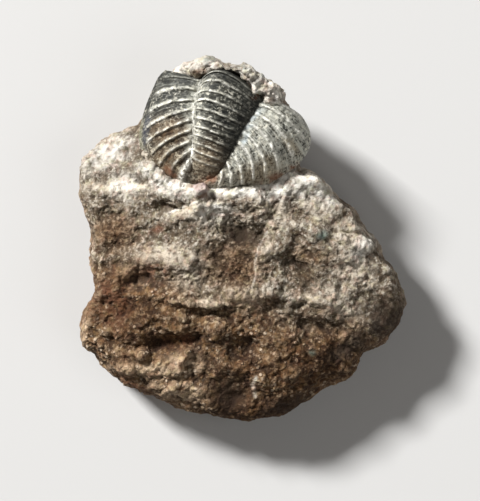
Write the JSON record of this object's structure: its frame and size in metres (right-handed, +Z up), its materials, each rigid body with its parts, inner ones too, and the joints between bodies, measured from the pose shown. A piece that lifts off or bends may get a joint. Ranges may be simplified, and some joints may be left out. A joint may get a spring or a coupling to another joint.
{
  "type": "trilobite fossil in matrix",
  "caption": "Dark ribbed tail shield of a trilobite, domed on the upper end of a rough block of pale limestone.",
  "frame": {"origin": "middle of the object's plan box, on the surface that the stone lies on", "axes": "+Z up, out of the flat back of the stone; +Y from the foot of the stone to the front edge of the shield; +X to the right, seen from above"},
  "size_m": [0.0596, 0.0662, 0.0272],
  "materials": {
    "limestone": "rough, broken, dry",
    "fossil_shell": "dull satin, worn pale on the ridges"
  },
  "bodies": {
    "root": {"matrix": "limestone", "trilobite": "fossil_shell"}
  },
  "joints": []
}
